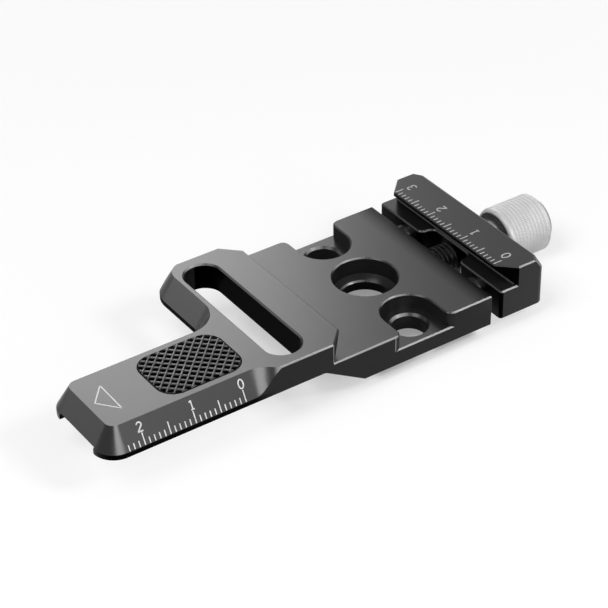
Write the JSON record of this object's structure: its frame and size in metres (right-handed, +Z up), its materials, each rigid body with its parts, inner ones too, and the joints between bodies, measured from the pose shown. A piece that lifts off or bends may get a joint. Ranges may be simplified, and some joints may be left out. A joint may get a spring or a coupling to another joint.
{
  "type": "camera support clamp",
  "caption": "Flat camera support clamp: slotted plate with a bevelled, scaled tongue and rubber grip pad, and a sliding dovetail jaw closed by a knurled knob.",
  "frame": {"origin": "on the axis of the large centre hole, level with the plate's underside", "axes": "+X along the plate from the tongue's tip to the knob, +Y across it towards the lobe's side, +Z up, from the underside to the bed"},
  "size_m": [0.1069, 0.0372, 0.0131],
  "materials": {
    "black_anodised": "fine blasted, black anodised, bright cut edges",
    "grip_rubber": "moulded, matt",
    "bright_steel": "turned and polished",
    "spring_steel": "drawn wire",
    "silver_knob": "turned, finely knurled, clear anodised"
  },
  "bodies": {
    "plate": {"base_plate": "black_anodised", "grip_pad": "grip_rubber", "guide_pin_near": "bright_steel", "guide_pin_far": "bright_steel", "opening_spring": "spring_steel"},
    "jaw": {"clamp_jaw": "black_anodised", "thrust_washer": "bright_steel"},
    "knob": {"clamp_knob": "silver_knob", "clamp_screw": "bright_steel"}
  },
  "joints": [
    {"name": "jaw_slide", "type": "slide", "parent": "plate", "child": "jaw", "axis": [1, 0, 0], "range_m": [-0.0019, 0.002], "deforming": ["opening_spring"]},
    {"name": "knob_turn", "type": "hinge", "parent": "jaw", "child": "knob", "pos_m": [0.03, 0, 0.00305], "axis": [1, 0, 0], "range_deg": [-978, 1029]}
  ],
  "couplings": [
    {"joint": "knob_turn", "follows": "jaw_slide", "rad_per_m": 8976}
  ]
}
